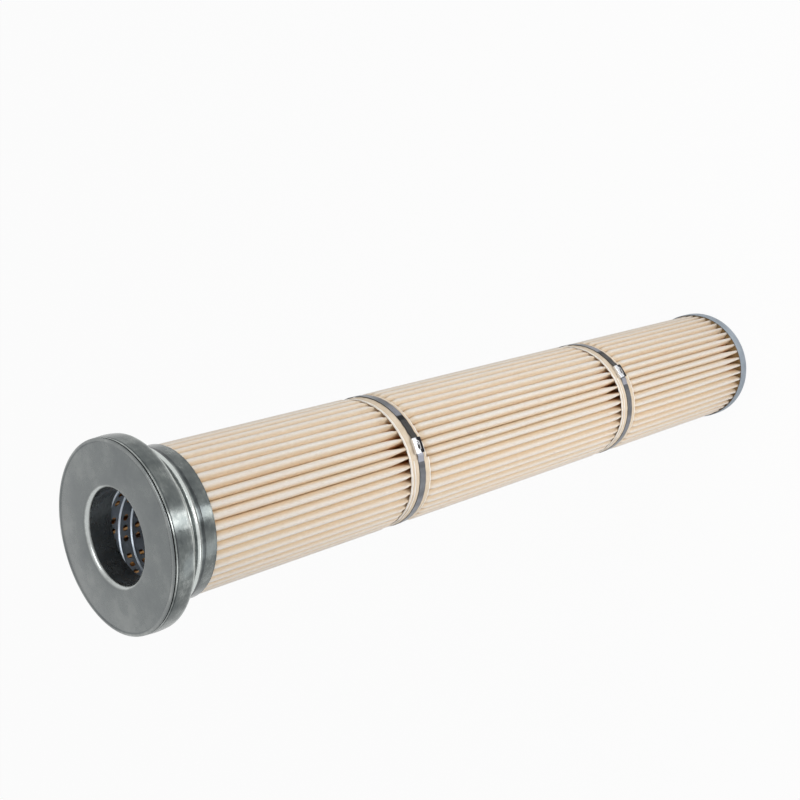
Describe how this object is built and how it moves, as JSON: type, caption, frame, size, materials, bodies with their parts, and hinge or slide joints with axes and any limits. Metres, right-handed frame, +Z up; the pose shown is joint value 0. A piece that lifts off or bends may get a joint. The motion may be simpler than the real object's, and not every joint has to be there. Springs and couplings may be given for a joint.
{
  "type": "pleated filter element",
  "caption": "Tall cylindrical pleated filter element with a flanged hollow steel top cap, perforated core, closed bottom cap and steel straps over cloth bands.",
  "frame": {"origin": "centre of the bottom cap's underside, on the axis", "axes": "+Z up along the element's axis, from the closed bottom cap to the open flanged cap; -Y is the side with the strap buckles"},
  "size_m": [0.1616, 0.1616, 0.88],
  "materials": {
    "cap_steel": "galvanised sheet steel, satin with a faint mottle",
    "resin": "cured potting resin, satin",
    "core_steel": "bright galvanised perforated strip",
    "media": "pleated felted paper, matt",
    "bottom_cap_steel": "matt blue-grey",
    "cloth": "cream cotton tape, matt",
    "strap_steel": "stainless strip, smooth",
    "buckle_steel": "folded stainless sheet, bright",
    "ball_steel": "polished"
  },
  "bodies": {
    "root": {"top_face_plate": "cap_steel", "top_shell": "cap_steel", "top_resin": "resin", "inner_core": "core_steel", "pleated_media": "media", "bottom_resin": "resin", "bottom_cap": "bottom_cap_steel", "cloth_band_upper": "cloth", "cloth_band_lower": "cloth", "steel_strap_upper": "strap_steel", "steel_strap_lower": "strap_steel", "strap_buckle_upper": "buckle_steel", "strap_buckle_lower": "buckle_steel", "locking_balls": "ball_steel"}
  },
  "joints": []
}
